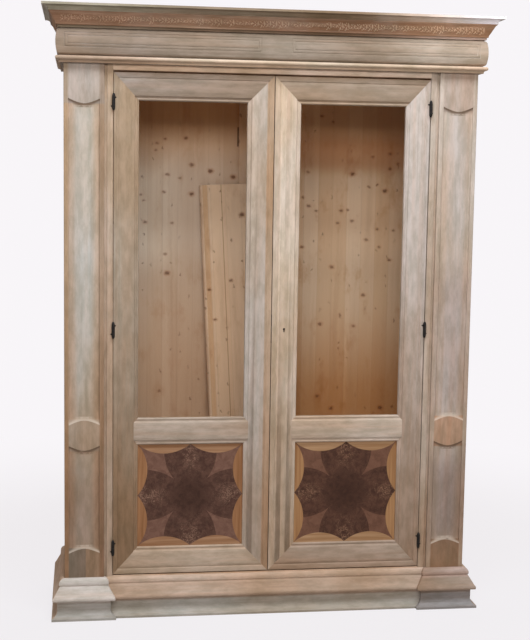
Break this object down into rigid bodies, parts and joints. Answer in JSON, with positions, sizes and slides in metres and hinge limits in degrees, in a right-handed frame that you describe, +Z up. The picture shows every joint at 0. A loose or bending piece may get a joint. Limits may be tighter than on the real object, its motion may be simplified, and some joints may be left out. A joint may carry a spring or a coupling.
{
  "type": "display cabinet",
  "caption": "Tall two-door display cabinet in raw wood with panes above marquetry panels, milled pilasters, a breakfront plinth and a moulded cornice.",
  "frame": {"origin": "middle of the cabinet's underside, at floor level", "axes": "+Z up, -Y out of the front, +X to the right of somebody who faces the front"},
  "size_m": [1.632, 0.485, 2.18],
  "materials": {
    "raw_wood": "planed and sanded, unfinished",
    "carved_wood": "carved, unfinished",
    "knotty_pine": "planed, unfinished, knotty",
    "shelf_pine": "planed, unfinished",
    "panel_board": "sanded",
    "dark_burl": "sanded burl veneer",
    "medium_walnut": "sanded veneer",
    "orange_cherry": "sanded veneer",
    "pane_glass": "clear float glass",
    "black_iron": "satin black",
    "lock_steel": "plain steel",
    "bolt_steel": "plain steel"
  },
  "bodies": {
    "root": {"left_side_panel": "raw_wood", "right_side_panel": "raw_wood", "bottom_board": "knotty_pine", "top_board": "knotty_pine", "cornice_lid": "knotty_pine", "back_left_board": "knotty_pine", "back_right_board": "knotty_pine", "back_center_batten": "knotty_pine", "left_face_stile": "raw_wood", "right_face_stile": "raw_wood", "top_front_rail": "raw_wood", "bottom_front_rail": "raw_wood", "left_pilaster": "raw_wood", "right_pilaster": "raw_wood", "plinth_front_center": "raw_wood", "plinth_left_block": "raw_wood", "plinth_right_block": "raw_wood", "plinth_side_runs": "raw_wood", "frieze_front": "raw_wood", "frieze_left": "raw_wood", "frieze_right": "raw_wood", "crown_front": "raw_wood", "crown_left": "raw_wood", "crown_right": "raw_wood", "carved_strip_front": "carved_wood", "carved_strip_returns": "carved_wood", "necking_front": "raw_wood", "necking_returns": "raw_wood", "loose_shelf": "shelf_pine", "shelf_bearers": "knotty_pine", "frame_hinge_barrels": "black_iron"},
    "left_door": {"left_door_hinge_stile": "raw_wood", "left_door_meeting_stile": "raw_wood", "left_door_top_rail": "raw_wood", "left_door_mid_rail": "raw_wood", "left_door_bottom_rail": "raw_wood", "left_door_glass": "pane_glass", "left_door_glazing_beads": "raw_wood", "left_door_panel": "panel_board", "left_door_petals": "dark_burl", "left_door_scallops": "orange_cherry", "left_door_corner_veneers": "medium_walnut", "left_door_hinge_barrels": "black_iron", "bolt_guides": "bolt_steel"},
    "right_door": {"right_door_hinge_stile": "raw_wood", "right_door_meeting_stile": "raw_wood", "right_door_top_rail": "raw_wood", "right_door_mid_rail": "raw_wood", "right_door_bottom_rail": "raw_wood", "right_door_glass": "pane_glass", "right_door_glazing_beads": "raw_wood", "right_door_panel": "panel_board", "right_door_petals": "dark_burl", "right_door_scallops": "orange_cherry", "right_door_corner_veneers": "medium_walnut", "right_door_hinge_barrels": "black_iron", "lock_case": "lock_steel"},
    "lock_bolt": {"lock_bolt": "lock_steel"},
    "top_bolt": {"top_bolt": "bolt_steel"},
    "bottom_bolt": {"bottom_bolt": "bolt_steel"}
  },
  "joints": [
    {"name": "left_door_hinge", "type": "hinge", "parent": "root", "child": "left_door", "pos_m": [-0.57, -0.1677, 1.05], "axis": [0, 0, -1], "range_deg": [0, 170]},
    {"name": "right_door_hinge", "type": "hinge", "parent": "root", "child": "right_door", "pos_m": [0.57, -0.1677, 1.05], "axis": [0, 0, 1], "range_deg": [0, 170]},
    {"name": "lock_bolt_slide", "type": "slide", "parent": "right_door", "child": "lock_bolt", "axis": [-1, 0, 0], "range_m": [0, 0.011]},
    {"name": "top_bolt_slide", "type": "slide", "parent": "left_door", "child": "top_bolt", "axis": [0, 0, 1], "range_m": [0, 0.014]},
    {"name": "bottom_bolt_slide", "type": "slide", "parent": "left_door", "child": "bottom_bolt", "axis": [0, 0, -1], "range_m": [0, 0.014]}
  ]
}
